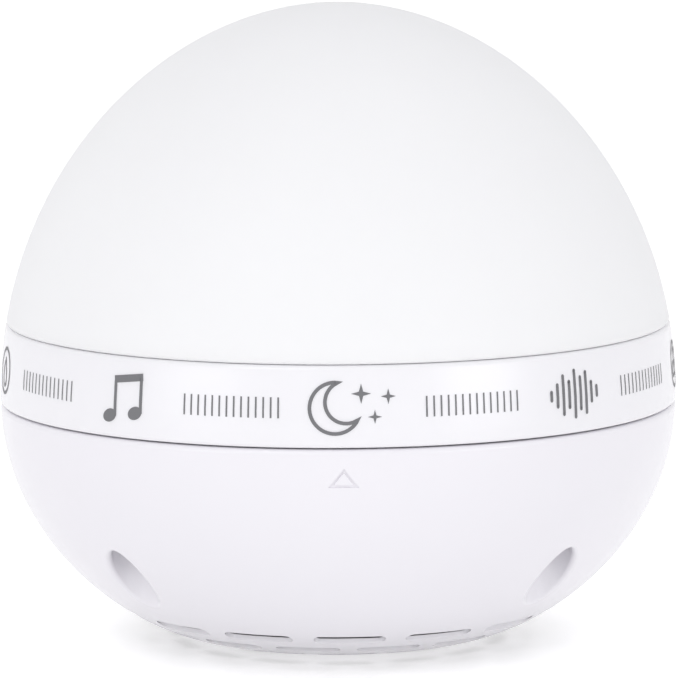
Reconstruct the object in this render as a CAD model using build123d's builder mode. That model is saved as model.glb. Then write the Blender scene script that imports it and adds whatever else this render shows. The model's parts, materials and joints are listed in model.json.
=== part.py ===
from build123d import *
from math import acos, atan2, cos, hypot, pi, radians, sin, tan
import os

# Egg-shaped sleep soother with a turning selector ring, in millimetres
# +Z is up, the origin is on the table under the middle of the body, and the pointer faces -Y

# Body form: the egg's half outline is one curve below the widest circle and one above it
BODY_RADIUS = 60.0
BODY_HEIGHT = 111.9
EQUATOR_RISE = 42.4
FLAT_INSET = 35.0
FLOOR_REACH_SHARE = 0.295
BILGE_DROP_SHARE = 0.632
CROWN_LIFT_SHARE = 0.568
CROWN_REACH_SHARE = 0.508

# Walls, seams and clearances
SHELL_WALL = 2.4
RING_WALL = 3.0
DOME_WALL = 2.2
HOUSING_HEIGHT = 41.4
RING_HEIGHT = 13.8
LOWER_GAP = 0.3
UPPER_GAP = 0.1
RIM_ROUND = 0.8
EDGE_ROUND = 0.5
FIT_GAP = 0.3
SLIDE_GAP = 0.1
SCREW_GAP = 0.05
OVERRUN = 1.0

# Rubber feet
FOOT_RADIUS = 4.0
FOOT_THICKNESS = 1.8
FOOT_PROUD = 1.0
FOOT_MARGIN = 5.7
FOOT_COUNT = 4
FOOT_TURN = 45.0

# Speaker grille: staggered rings of curved slots through the thinned wall of the curved underside
OUTER_ROW_INSET = 21.5
ROW_PITCH = 4.8
ROW_COUNT = 3
SLOT_WIDTH = 2.4
SLOT_COUNT = 15
SLOT_ANGLE = 15.0
SLOT_TURN = 1.8
GRILLE_WALL = 0.75
GRILLE_MARGIN = 1.0

# Screw wells and the screws that pull the housing up to the deck
WELL_RADIUS = 4.05
WELL_WALL = 1.9
WELL_INSET = 11.3
WELL_ANGLE = 47.0
WELL_ROOF = 2.5
WELL_ROUND = 0.7
BASE_SCREW_RADIUS = 1.5
BASE_SCREW_LENGTH = 12.0
BASE_HEAD_RADIUS = 2.8
BASE_HEAD_HEIGHT = 2.0

# Pointer triangle engraved below the ring
POINTER_WIDTH = 5.2
POINTER_HEIGHT = 3.3
POINTER_DROP = 3.2
POINTER_LINE = 0.45
POINTER_DEPTH = 0.3

# Deck plate, its neck and its posts
DECK_THICKNESS = 2.5
DECK_LEDGE = 1.6
DECK_LEDGE_HEIGHT = 1.2
DECK_HOLE_RADIUS = 14.0
PILLAR_RADIUS = 4.2
PILLAR_LENGTH = 12.4
NECK_WALL = 2.2
NECK_GAP = 0.5
NECK_BOSS_RADIUS = 3.2
SEAT_SCREW_TURN = 45.0
GLIDE_WIDTH = 3.0
GLIDE_GROOVE = 0.75

# Selector ring, its internal gear and the pinion on the encoder
RING_LEDGE = 1.5
RING_LEDGE_WIDTH = 4.6
KEY_COUNT = 3
KEY_WIDTH = 3.0
KEY_DEPTH = 1.6
RING_TEETH = 99
PINION_TEETH = 11
PRESSURE_ANGLE = 25.0
GEAR_INSET = 6.5
GEAR_RIM = 2.4
GEAR_FLANGE = 1.5
COLLAR_HEIGHT = 3.0
RING_ADDENDUM_SHARE = 0.8
PINION_ADDENDUM_SHARE = 0.9
DEDENDUM_SHARE = 1.15
BACKLASH = 0.4
LIFT_GAP = 0.1
SHAFT_RADIUS = 2.5
BUSHING_WALL = 1.0
BUSHING_PROUD = 1.0
ENCODER_SIZE = 12.0
ENCODER_HEIGHT = 6.5

# Dome seat and the dome's snap rim
SEAT_THICKNESS = 2.5
SEAT_RIM_WIDTH = 2.5
SEAT_RIM_HEIGHT = 2.1
SEAT_HOLE_RADIUS = 9.0
SEAT_SCREW_COUNT = 4
DOME_LEDGE_RISE = 0.5
DOME_LEDGE = 2.0
SKIRT_WALL = 2.0
BEAD_RADIUS = 0.4

# Light board
LIGHT_BOARD_INSET = 18.9
LIGHT_POST_HEIGHT = 4.0
LIGHT_POST_RADIUS = 2.8
LIGHT_POST_INSET = 5.0
LIGHT_POST_COUNT = 3
LED_SIZE = 5.0
LED_HEIGHT = 1.6
LED_INSET = 14.0
LED_COUNT = 8

# Main board and what stands on it
BOARD_THICKNESS = 1.6
BOARD_SETBACK = 1.3
BOARD_POST_RADIUS = 2.8
BOARD_POST_ROOM = 2.0
BOARD_POST_TURN = 0.0
BOARD_POST_COUNT = 4
CHIP_SIZE = 10.0
CHIP_HEIGHT = 1.4
CHIP_INSET = 13.0
CAPACITOR_RADIUS = 3.15
CAPACITOR_HEIGHT = 5.4
CAPACITOR_SPACING = 9.0
CONNECTOR_LENGTH = 7.0
CONNECTOR_WIDTH = 4.0
CONNECTOR_HEIGHT = 3.2

# Small screws for the seat, the boards and the speaker
SMALL_SCREW_RADIUS = 1.0
SMALL_SCREW_LENGTH = 6.0
SMALL_HEAD_RADIUS = 1.9
SMALL_HEAD_HEIGHT = 1.4
SPEAKER_SCREW_RADIUS = 0.75
SPEAKER_SCREW_LENGTH = 5.0
SPEAKER_HEAD_RADIUS = 1.3
SPEAKER_HEAD_HEIGHT = 0.9
SPEAKER_SCREW_COUNT = 4
TIP_ROOM = 0.5

# Rear buttons, each with a flange inside the wall and a stem in its switch
BUTTON_ANGLES = {
    "volume_down_button": 27.0,
    "volume_up_button": 15.0,
    "timer_button": -15.0,
    "light_button": -27.0,
}
BUTTON_RADIUS = 3.2
BUTTON_PROUD = 0.7
BUTTON_ROUND = 0.5
BUTTON_TRAVEL = 0.5
BUTTON_FLANGE = 0.8
BUTTON_FLANGE_THICKNESS = 1.2
STEM_RADIUS = 1.2
STEM_LENGTH = 3.2
STEM_ENTRY = 0.4
SWITCH_WIDTH = 6.0
SWITCH_DEPTH = 3.6
SWITCH_HEIGHT = 3.6

# Power inlet under the main board, with room in the wall for the plug's body
SOCKET_WIDTH = 9.0
SOCKET_HEIGHT = 3.2
SOCKET_LENGTH = 7.4
SOCKET_WALL = 0.35
SOCKET_DEPTH = 6.2
TONGUE_WIDTH = 6.6
TONGUE_HEIGHT = 0.7
TONGUE_LENGTH = 4.6
INLET_WIDTH = 12.6
INLET_HEIGHT = 7.2

# Loudspeaker, facing down on its seat ring
SPEAKER_SEAT_WIDTH = 2.5
SPEAKER_SEAT_RISE = 1.5
SPEAKER_SEAT_MARGIN = 1.4
GASKET_THICKNESS = 1.0
BASKET_WALL = 1.0
BASKET_ARMS = 6
BASKET_ARM_WIDTH = 8.0
BASKET_DEPTH_SHARE = 0.6
MAGNET_DEPTH_SHARE = 0.26
SPEAKER_HEADROOM = 1.4
MAGNET_RADIUS = 20.0
MAGNET_BORE = 9.0
POLE_RADIUS = 6.6
COIL_RADIUS = 7.6
COIL_WALL = 0.5
SURROUND_LIP = 2.0
SURROUND_ROLL = 2.0
SURROUND_WALL = 0.6
CONE_WALL = 0.7
CAP_HEIGHT = 3.0
TERMINAL_LENGTH = 8.0
TERMINAL_WIDTH = 3.0
TERMINAL_HEIGHT = 1.5

# Internal leads
LEAD_RADIUS = 1.0
LEAD_BEND = 5.0
LIGHT_LEAD_STEP = 5.0
SPEAKER_LEAD_ROOM = 5.0

# Heights worked out from the sizes above
housing_bottom = FOOT_PROUD
equator_z = housing_bottom + EQUATOR_RISE
crown_z = housing_bottom + BODY_HEIGHT
housing_top = housing_bottom + HOUSING_HEIGHT
ring_bottom = housing_top + LOWER_GAP
ring_top = ring_bottom + RING_HEIGHT
dome_bottom = ring_top + UPPER_GAP
deck_top = housing_top
deck_bottom = deck_top - DECK_THICKNESS
dome_ledge_z = dome_bottom + DOME_LEDGE_RISE
seat_top = dome_ledge_z - SEAT_RIM_HEIGHT
seat_bottom = seat_top - SEAT_THICKNESS
gear_bottom = ring_bottom + RING_LEDGE
gear_top = seat_bottom - LIFT_GAP
collar_bottom = gear_top - COLLAR_HEIGHT
pinion_bottom = gear_bottom + FIT_GAP
pinion_top = collar_bottom - FIT_GAP
board_top = deck_bottom - ENCODER_HEIGHT
board_bottom = board_top - BOARD_THICKNESS
light_bottom = seat_top + LIGHT_POST_HEIGHT
light_top = light_bottom + BOARD_THICKNESS
pillar_bottom = deck_bottom - PILLAR_LENGTH
well_top = pillar_bottom - WELL_ROOF

# Depths of the pilot holes below the faces that the screws enter
base_pilot = BASE_SCREW_LENGTH - WELL_ROOF + TIP_ROOM
seat_pilot = SMALL_SCREW_LENGTH - SEAT_THICKNESS + TIP_ROOM
board_pilot = SMALL_SCREW_LENGTH - BOARD_THICKNESS + TIP_ROOM
speaker_pilot = SPEAKER_SCREW_LENGTH - BASKET_WALL - GASKET_THICKNESS + TIP_ROOM


def egg_curves(inset):
    """Control points of radius and height for the egg's lower and upper curve, inset by a wall.

    Each leg of the control polygon moves in by the wall, so its corners move along their mitres.
    """
    flat_radius = BODY_RADIUS - FLAT_INSET
    floor_reach = flat_radius + FLOOR_REACH_SHARE * FLAT_INSET
    bilge_z = equator_z - BILGE_DROP_SHARE * EQUATOR_RISE
    shoulder_z = equator_z + CROWN_LIFT_SHARE * (crown_z - equator_z)
    crown_reach = CROWN_REACH_SHARE * BODY_RADIUS
    floor_turn = atan2(bilge_z - housing_bottom, BODY_RADIUS - floor_reach)
    bilge_turn = pi / 2 - floor_turn
    crown_turn = atan2(crown_z - shoulder_z, BODY_RADIUS - crown_reach)
    shoulder_turn = pi / 2 - crown_turn
    lower = [
        (flat_radius, housing_bottom + inset),
        (floor_reach - inset * tan(floor_turn / 2), housing_bottom + inset),
        (BODY_RADIUS - inset, bilge_z + inset * tan(bilge_turn / 2)),
        (BODY_RADIUS - inset, equator_z),
    ]
    upper = [
        (BODY_RADIUS - inset, equator_z),
        (BODY_RADIUS - inset, shoulder_z - inset * tan(shoulder_turn / 2)),
        (crown_reach - inset * tan(crown_turn / 2), crown_z - inset),
        (0, crown_z - inset),
    ]
    return lower, upper


def curve_point(curve, share):
    """Radius and height at a share of the way along one curve."""
    rest = 1 - share
    weights = (rest**3, 3 * rest**2 * share, 3 * rest * share**2, share**3)
    return tuple(sum(w * point[i] for w, point in zip(weights, curve)) for i in (0, 1))


def curve_crossing(curve, index, value):
    """The point of a curve where its radius (0) or height (1) rises to a value."""
    low, high = 0.0, 1.0
    for _ in range(40):
        middle = (low + high) / 2
        if curve_point(curve, middle)[index] < value:
            low = middle
        else:
            high = middle
    return curve_point(curve, low)


def radius_at(height, inset=0):
    """Radius of the egg, or of a wall's inner face, at a height."""
    lower, upper = egg_curves(inset)
    return curve_crossing(lower if height < equator_z else upper, 1, height)[0]


def floor_at(radius, inset=0):
    """Height of the egg's underside, or of a wall's inner face, at a radius."""
    return curve_crossing(egg_curves(inset)[0], 0, radius)[1]


# Radii worked out from the egg and the sizes above
deck_radius = radius_at(deck_bottom, SHELL_WALL) - FIT_GAP
deck_ledge_radius = deck_radius - DECK_LEDGE
ring_bore = min(radius_at(ring_bottom, RING_WALL), radius_at(ring_top, RING_WALL))
ring_ledge_radius = ring_bore - RING_LEDGE_WIDTH
pitch_radius = ring_bore - GEAR_INSET
gear_module = 2 * pitch_radius / RING_TEETH
pinion_pitch_radius = gear_module * PINION_TEETH / 2
pinion_offset = pitch_radius - pinion_pitch_radius
ring_tip_radius = pitch_radius - RING_ADDENDUM_SHARE * gear_module
ring_root_radius = pitch_radius + DEDENDUM_SHARE * gear_module
pinion_tip_radius = pinion_pitch_radius + PINION_ADDENDUM_SHARE * gear_module
pinion_root_radius = pinion_pitch_radius - DEDENDUM_SHARE * gear_module
gear_rim_radius = ring_root_radius + GEAR_RIM
neck_radius = ring_tip_radius - NECK_GAP
neck_bore = neck_radius - NECK_WALL
neck_boss_circle = neck_bore - NECK_BOSS_RADIUS + NECK_WALL / 2
seat_radius = ring_bore - NECK_GAP
seat_rim_bore = seat_radius - SEAT_RIM_WIDTH
skirt_radius = seat_rim_bore - FIT_GAP
well_circle = BODY_RADIUS - WELL_INSET
well_post_radius = WELL_RADIUS + WELL_WALL
glide_radius = (ring_ledge_radius + ring_bore) / 2
light_board_radius = seat_rim_bore - LIGHT_BOARD_INSET
light_post_circle = light_board_radius - LIGHT_POST_INSET
led_circle = light_board_radius - LED_INSET
outer_row_radius = BODY_RADIUS - OUTER_ROW_INSET
inner_row_radius = outer_row_radius - (ROW_COUNT - 1) * ROW_PITCH
grille_bore = inner_row_radius - SLOT_WIDTH / 2 - GRILLE_MARGIN
foot_circle = inner_row_radius - SLOT_WIDTH / 2 - FOOT_MARGIN - FOOT_RADIUS

# Screw circles, as places in plan
well_places = [
    (well_circle * sin(radians(turn)), -well_circle * cos(radians(turn)))
    for side in (0, 180)
    for turn in (side - WELL_ANGLE, side + WELL_ANGLE)
]


def polar(radius, angle):
    """Plan point at a radius and an angle in radians from +X."""
    return (radius * cos(angle), radius * sin(angle))


def back_plane(angle, height):
    """Plane through the axis that faces out at an angle from the back, with its Y up."""
    turn = radians(angle)
    outward = (sin(turn), cos(turn), 0)
    sideways = (-cos(turn), sin(turn), 0)
    return Plane(origin=(0, 0, height), x_dir=sideways, z_dir=outward)


def skin_plane(angle, height, span):
    """Plane on the egg's skin at an angle from the back, leaning as the skin does over a span."""
    turn = radians(angle)
    low = radius_at(height - span / 2)
    high = radius_at(height + span / 2)
    lean = atan2(high - low, span)
    radius = (low + high) / 2
    outward = (sin(turn) * cos(lean), cos(turn) * cos(lean), -sin(lean))
    sideways = (-cos(turn), sin(turn), 0)
    return Plane(origin=(radius * sin(turn), radius * cos(turn), height), x_dir=sideways, z_dir=outward)


def egg_section(inset):
    """Half section of the egg, inset by a wall."""
    lower, upper = egg_curves(inset)
    with BuildSketch() as section:
        with BuildLine():
            Bezier(*lower)
            Bezier(*upper)
            Polyline(upper[-1], (0, lower[0][1]), lower[0])
        make_face()
    return section.sketch


def egg_solid(inset):
    """The whole egg, inset by a wall."""
    with BuildPart() as egg:
        with BuildSketch(Plane.XZ):
            add(egg_section(inset))
        revolve(axis=Axis.Z)
    return egg.part


def section_box(inner, outer, bottom, top, mode=Mode.ADD):
    """Rectangle of a half section between two radii and two heights."""
    with Locations((inner, bottom)):
        Rectangle(outer - inner, top - bottom, align=(Align.MIN, Align.MIN), mode=mode)


def rising(radius, height, mode=Mode.ADD):
    """Cylinder that stands on the current place."""
    Cylinder(radius, height, align=(Align.CENTER, Align.CENTER, Align.MIN), mode=mode)


def hanging(radius, height, mode=Mode.ADD):
    """Cylinder that hangs from the current place."""
    Cylinder(radius, height, align=(Align.CENTER, Align.CENTER, Align.MAX), mode=mode)


def outer_rim(part, height):
    """The widest circular edge of a part at a height."""
    circles = part.edges().filter_by(GeomType.CIRCLE)
    level = circles.filter_by(lambda edge: abs(edge.center().Z - height) < SCREW_GAP)
    return level.sort_by(SortBy.RADIUS)[-1]


def well_mouths(part):
    """Edges where the screw wells leave the curved skin."""
    def on_mouth(edge):
        middle = edge.position_at(1 / 2)
        reach = min(hypot(middle.X - x, middle.Y - y) for x, y in well_places)
        return edge.geom_type not in (GeomType.LINE, GeomType.CIRCLE) and abs(reach - WELL_RADIUS) < SCREW_GAP

    return part.edges().filter_by(on_mouth)


egg_outer = egg_solid(0)

# Speaker places that the housing shares with the driver
speaker_seat_bore = outer_row_radius + SLOT_WIDTH / 2 + SPEAKER_SEAT_MARGIN
speaker_seat_radius = speaker_seat_bore + SPEAKER_SEAT_WIDTH
speaker_screw_circle = (speaker_seat_bore + speaker_seat_radius) / 2
speaker_seat_z = floor_at(speaker_seat_radius, SHELL_WALL) + SPEAKER_SEAT_RISE
flange_bottom = speaker_seat_z + GASKET_THICKNESS
flange_top = flange_bottom + BASKET_WALL
flange_radius = speaker_seat_radius - FIT_GAP

# Button and inlet places that the housing shares with the controls
button_z = board_top + SWITCH_HEIGHT / 2
button_flange_radius = BUTTON_RADIUS + FIT_GAP + BUTTON_FLANGE
button_low_radius = radius_at(button_z - button_flange_radius, SHELL_WALL) - FIT_GAP
button_flange_face = (button_low_radius**2 - button_flange_radius**2) ** 0.5
button_flange_back = button_flange_face - BUTTON_FLANGE_THICKNESS
stem_tip = button_flange_back - STEM_LENGTH
switch_face = stem_tip + STEM_ENTRY
socket_z = board_bottom - SOCKET_HEIGHT / 2
socket_face = radius_at(socket_z - INLET_HEIGHT / 2, SHELL_WALL) - FIT_GAP
board_radius = switch_face - BOARD_SETBACK
board_post_circle = pinion_offset - ENCODER_SIZE / 2 - BOARD_POST_ROOM - BOARD_POST_RADIUS
chip_place = board_post_circle - CHIP_INSET


# Posts round the screw wells, trimmed to the egg's skin
with BuildPart() as well_posts:
    with Locations(*well_places):
        rising(well_post_radius, pillar_bottom)
    add(egg_outer, mode=Mode.INTERSECT)

# Pointer groove, cut square to the skin at the front
with BuildPart() as pointer_groove:
    pointer_z = housing_top - POINTER_DROP - POINTER_HEIGHT / 2
    with BuildSketch(skin_plane(180, pointer_z, POINTER_HEIGHT).offset(-POINTER_DEPTH)):
        with BuildLine():
            Polyline(
                (-POINTER_WIDTH / 2, -POINTER_HEIGHT / 2),
                (POINTER_WIDTH / 2, -POINTER_HEIGHT / 2),
                (0, POINTER_HEIGHT / 2),
                close=True,
            )
        make_face()
        offset(amount=-POINTER_LINE, kind=Kind.INTERSECTION, mode=Mode.SUBTRACT)
    extrude(amount=POINTER_DEPTH + OVERRUN)

# Pocket behind the grille, which leaves a thin wall for the slots
with BuildSketch() as grille_pocket:
    add(egg_section(GRILLE_WALL))
    section_box(grille_bore, speaker_seat_bore, 0, speaker_seat_z, mode=Mode.INTERSECT)

# Base housing: shell with the deck ledge and the speaker seat
with BuildPart() as base_housing:
    with BuildSketch(Plane.XZ):
        add(egg_section(0))
        add(egg_section(SHELL_WALL), mode=Mode.SUBTRACT)
        add(grille_pocket.sketch, mode=Mode.SUBTRACT)
        section_box(deck_ledge_radius, BODY_RADIUS, deck_bottom - DECK_LEDGE_HEIGHT, deck_bottom)
        section_box(speaker_seat_bore, speaker_seat_radius, 0, speaker_seat_z)
        add(egg_section(0), mode=Mode.INTERSECT)
        section_box(0, BODY_RADIUS, 0, housing_top, mode=Mode.INTERSECT)
    revolve(axis=Axis.Z)
    fillet(outer_rim(base_housing.part, housing_top), RIM_ROUND)
    add(well_posts.part)
    # Screw wells with rounded mouths, and the clearance holes in their roofs
    with Locations(*well_places):
        rising(WELL_RADIUS, well_top, mode=Mode.SUBTRACT)
    fillet(well_mouths(base_housing.part), WELL_ROUND)
    with Locations(*well_places):
        rising(BASE_SCREW_RADIUS + SCREW_GAP, pillar_bottom + OVERRUN, mode=Mode.SUBTRACT)
    # Grille rows, each turned half a slot from the one outside it
    with BuildSketch():
        for row in range(ROW_COUNT):
            row_radius = outer_row_radius - row * ROW_PITCH
            row_turn = SLOT_TURN - 90 + (row % 2) * 180 / SLOT_COUNT
            with PolarLocations(0, SLOT_COUNT, start_angle=row_turn):
                slot_line = CenterArc((0, 0), row_radius, -SLOT_ANGLE / 2, SLOT_ANGLE, mode=Mode.PRIVATE)
                SlotArc(slot_line, SLOT_WIDTH)
    extrude(amount=speaker_seat_z, mode=Mode.SUBTRACT)
    # Foot recesses
    with BuildSketch():
        with PolarLocations(foot_circle, FOOT_COUNT, start_angle=FOOT_TURN):
            Circle(FOOT_RADIUS + SLIDE_GAP)
    extrude(amount=FOOT_THICKNESS, mode=Mode.SUBTRACT)
    # Pilot holes for the speaker screws
    with BuildSketch(Plane.XY.offset(speaker_seat_z)):
        with PolarLocations(speaker_screw_circle, SPEAKER_SCREW_COUNT):
            Circle(SPEAKER_SCREW_RADIUS + SCREW_GAP)
    extrude(amount=-speaker_pilot, mode=Mode.SUBTRACT)
    # Button holes and the power inlet through the back wall
    for button_angle in BUTTON_ANGLES.values():
        with BuildSketch(back_plane(button_angle, button_z).offset(button_flange_face)):
            Circle(BUTTON_RADIUS + FIT_GAP)
        extrude(amount=BODY_RADIUS, mode=Mode.SUBTRACT)
    with BuildSketch(back_plane(0, socket_z).offset(socket_face)):
        SlotOverall(INLET_WIDTH, INLET_HEIGHT)
    extrude(amount=BODY_RADIUS, mode=Mode.SUBTRACT)
    add(pointer_groove.part, mode=Mode.SUBTRACT)

# Rubber feet, let into the underside
with BuildPart() as rubber_feet:
    with BuildSketch():
        with PolarLocations(foot_circle, FOOT_COUNT, start_angle=FOOT_TURN):
            Circle(FOOT_RADIUS)
    extrude(amount=FOOT_THICKNESS)

# Base screws, with their heads up against the roofs of the wells
with BuildPart() as base_screws:
    with Locations(*[(x, y, well_top) for x, y in well_places]):
        rising(BASE_SCREW_RADIUS, BASE_SCREW_LENGTH)
        hanging(BASE_HEAD_RADIUS, BASE_HEAD_HEIGHT)

# Deck plate with the neck that the ring turns on
with BuildPart() as deck:
    with Locations((0, 0, deck_bottom)):
        rising(deck_radius, DECK_THICKNESS)
    with BuildSketch(Plane.XY.offset(deck_top)):
        Circle(neck_radius)
        Circle(neck_bore, mode=Mode.SUBTRACT)
        with PolarLocations(neck_boss_circle, SEAT_SCREW_COUNT, start_angle=SEAT_SCREW_TURN):
            Circle(NECK_BOSS_RADIUS)
    extrude(amount=seat_bottom - deck_top)
    with Locations(*[(x, y, deck_bottom) for x, y in well_places]):
        hanging(PILLAR_RADIUS, deck_bottom - pillar_bottom)
    with Locations(*[(x, y, pillar_bottom) for x, y in well_places]):
        rising(BASE_SCREW_RADIUS + SCREW_GAP, base_pilot, mode=Mode.SUBTRACT)
    with BuildSketch(Plane.XY.offset(deck_bottom)):
        with PolarLocations(board_post_circle, BOARD_POST_COUNT, start_angle=BOARD_POST_TURN):
            Circle(BOARD_POST_RADIUS)
    extrude(amount=board_top - deck_bottom)
    with BuildSketch(Plane.XY.offset(board_top)):
        with PolarLocations(board_post_circle, BOARD_POST_COUNT, start_angle=BOARD_POST_TURN):
            Circle(SMALL_SCREW_RADIUS + SCREW_GAP)
    extrude(amount=board_pilot, mode=Mode.SUBTRACT)
    with BuildSketch(Plane.XY.offset(seat_bottom)):
        with PolarLocations(neck_boss_circle, SEAT_SCREW_COUNT, start_angle=SEAT_SCREW_TURN):
            Circle(SMALL_SCREW_RADIUS + SCREW_GAP)
    extrude(amount=-seat_pilot, mode=Mode.SUBTRACT)
    # Glide groove, centre hole, encoder hole and the window for the pinion
    with BuildSketch(Plane.XY.offset(deck_top)):
        Circle(glide_radius + GLIDE_WIDTH / 2 + SLIDE_GAP)
        Circle(glide_radius - GLIDE_WIDTH / 2 - SLIDE_GAP, mode=Mode.SUBTRACT)
    extrude(amount=-GLIDE_GROOVE, mode=Mode.SUBTRACT)
    with Locations((0, 0, deck_bottom)):
        rising(DECK_HOLE_RADIUS, DECK_THICKNESS, mode=Mode.SUBTRACT)
    with Locations((pinion_offset, 0, deck_bottom)):
        rising(SHAFT_RADIUS + BUSHING_WALL + SLIDE_GAP, DECK_THICKNESS, mode=Mode.SUBTRACT)
    with Locations((pinion_offset, 0, deck_top)):
        rising(pinion_tip_radius + OVERRUN, collar_bottom - deck_top, mode=Mode.SUBTRACT)

# Slip washer under the ring
with BuildPart() as glide_ring:
    with BuildSketch(Plane.XY.offset(deck_top - GLIDE_GROOVE)):
        Circle(glide_radius + GLIDE_WIDTH / 2)
        Circle(glide_radius - GLIDE_WIDTH / 2, mode=Mode.SUBTRACT)
    extrude(amount=GLIDE_GROOVE + LOWER_GAP - SCREW_GAP)

# Selector ring: the flush band, with a ledge and keys for its gear
with BuildPart() as selector_ring:
    with BuildSketch(Plane.XZ):
        add(egg_section(0))
        section_box(0, ring_bore, 0, crown_z, mode=Mode.SUBTRACT)
        section_box(ring_ledge_radius, ring_bore, ring_bottom, gear_bottom)
        section_box(0, BODY_RADIUS, ring_bottom, ring_top, mode=Mode.INTERSECT)
    revolve(axis=Axis.Z)
    fillet(outer_rim(selector_ring.part, ring_bottom), EDGE_ROUND)
    fillet(outer_rim(selector_ring.part, ring_top), RIM_ROUND)
    with BuildSketch(Plane.XY.offset(gear_bottom)):
        with PolarLocations(ring_bore, KEY_COUNT):
            Rectangle(2 * KEY_DEPTH, KEY_WIDTH)
        Circle(ring_bore + RING_WALL / 2, mode=Mode.INTERSECT)
    extrude(amount=collar_bottom - gear_bottom)


def involute(radius, base_radius):
    """Angle that an involute has turned by the time it reaches a radius."""
    pressure = acos(min(base_radius / radius, 1))
    return tan(pressure) - pressure


def half_tooth(radius, pitch, width):
    """Half angle of an involute tooth at a radius, from its width on the pitch circle."""
    base = pitch * cos(radians(PRESSURE_ANGLE))
    return width / (2 * pitch) + involute(pitch, base) - involute(max(radius, base), base)


def tooth_outline(pitch, width, radii):
    """Face of one involute tooth on +X, from its foot, through its flanks, to its end."""
    foot, middle, end = radii
    foot_half, middle_half, end_half = [half_tooth(radius, pitch, width) for radius in radii]
    with BuildSketch() as outline:
        with BuildLine():
            ThreePointArc(polar(foot, -foot_half), polar(middle, -middle_half), polar(end, -end_half))
            Line(polar(end, -end_half), polar(end, end_half))
            ThreePointArc(polar(end, end_half), polar(middle, middle_half), polar(foot, foot_half))
            Line(polar(foot, foot_half), polar(foot, -foot_half))
        make_face()
    return outline.sketch


tooth_width = pi * gear_module / 2
ring_middle_radius = (ring_tip_radius + ring_root_radius) / 2
pinion_base_radius = pinion_pitch_radius * cos(radians(PRESSURE_ANGLE))
pinion_middle_radius = (pinion_base_radius + pinion_tip_radius) / 2

# Each space between the ring's inward teeth has the outline of an outward tooth
ring_space = tooth_outline(
    pitch_radius,
    tooth_width + BACKLASH / 2,
    (ring_tip_radius, ring_middle_radius, ring_root_radius),
)
pinion_tooth = tooth_outline(
    pinion_pitch_radius,
    tooth_width - BACKLASH / 2,
    (pinion_base_radius, pinion_middle_radius, pinion_tip_radius),
)
pinion_foot_width = 2 * pinion_base_radius * sin(
    half_tooth(pinion_base_radius, pinion_pitch_radius, tooth_width - BACKLASH / 2)
)

# Internal gear with its guide collar and the flange that sits on the ring's ledge
with BuildPart() as ring_gear:
    with BuildSketch(Plane.XY.offset(gear_bottom)):
        Circle(gear_rim_radius)
        Circle(ring_tip_radius, mode=Mode.SUBTRACT)
        with PolarLocations(0, RING_TEETH):
            add(ring_space, mode=Mode.SUBTRACT)
    extrude(amount=collar_bottom - gear_bottom)
    with BuildSketch(Plane.XY.offset(collar_bottom)):
        Circle(gear_rim_radius)
        Circle(neck_radius + SLIDE_GAP, mode=Mode.SUBTRACT)
    extrude(amount=COLLAR_HEIGHT)
    with BuildSketch(Plane.XY.offset(gear_bottom)):
        Circle(ring_bore - SLIDE_GAP)
        Circle(ring_root_radius + GEAR_RIM / 2, mode=Mode.SUBTRACT)
        with PolarLocations(ring_bore, KEY_COUNT):
            notch = (2 * (KEY_DEPTH + SLIDE_GAP), KEY_WIDTH + 2 * SLIDE_GAP)
            Rectangle(*notch, mode=Mode.SUBTRACT)
    extrude(amount=GEAR_FLANGE)

# Pinion on the encoder's shaft
with BuildPart() as drive_pinion:
    with BuildSketch(Plane((pinion_offset, 0, pinion_bottom))):
        Circle(pinion_root_radius)
        with PolarLocations(0, PINION_TEETH):
            add(pinion_tooth)
            with Locations((pinion_base_radius, 0)):
                Rectangle(pinion_base_radius, pinion_foot_width, align=(Align.MAX, Align.CENTER))
        Circle(SHAFT_RADIUS, mode=Mode.SUBTRACT)
    extrude(amount=pinion_top - pinion_bottom)

with BuildPart() as encoder_shaft:
    with Locations((pinion_offset, 0, deck_bottom)):
        rising(SHAFT_RADIUS, pinion_top - deck_bottom)

with BuildPart() as encoder_body:
    with BuildSketch(Plane((pinion_offset, 0, board_top))):
        RectangleRounded(ENCODER_SIZE, ENCODER_SIZE, EDGE_ROUND)
    extrude(amount=ENCODER_HEIGHT)
    with BuildSketch(Plane((pinion_offset, 0, deck_bottom))):
        Circle(SHAFT_RADIUS + BUSHING_WALL)
        Circle(SHAFT_RADIUS + SCREW_GAP, mode=Mode.SUBTRACT)
    extrude(amount=DECK_THICKNESS + BUSHING_PROUD)

# Dome seat: holds the ring down, the light board up and the dome on
bead_z = (seat_top + dome_ledge_z) / 2
with BuildPart() as dome_seat:
    with BuildSketch(Plane.XZ):
        section_box(SEAT_HOLE_RADIUS, seat_radius, seat_bottom, seat_top)
        section_box(seat_rim_bore, seat_radius, seat_top, dome_ledge_z)
        with Locations((skirt_radius, bead_z)):
            Circle(BEAD_RADIUS + FIT_GAP, mode=Mode.SUBTRACT)
    revolve(axis=Axis.Z)
    with BuildSketch(Plane.XY.offset(seat_top)):
        with PolarLocations(light_post_circle, LIGHT_POST_COUNT, start_angle=90):
            Circle(LIGHT_POST_RADIUS)
    extrude(amount=LIGHT_POST_HEIGHT)
    with BuildSketch(Plane.XY.offset(light_bottom)):
        with PolarLocations(light_post_circle, LIGHT_POST_COUNT, start_angle=90):
            Circle(SMALL_SCREW_RADIUS + SCREW_GAP)
    extrude(amount=-board_pilot, mode=Mode.SUBTRACT)
    with BuildSketch(Plane.XY.offset(seat_top)):
        with PolarLocations(neck_boss_circle, SEAT_SCREW_COUNT, start_angle=SEAT_SCREW_TURN):
            Circle(SMALL_SCREW_RADIUS + SCREW_GAP)
    extrude(amount=-SEAT_THICKNESS, mode=Mode.SUBTRACT)

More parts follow.
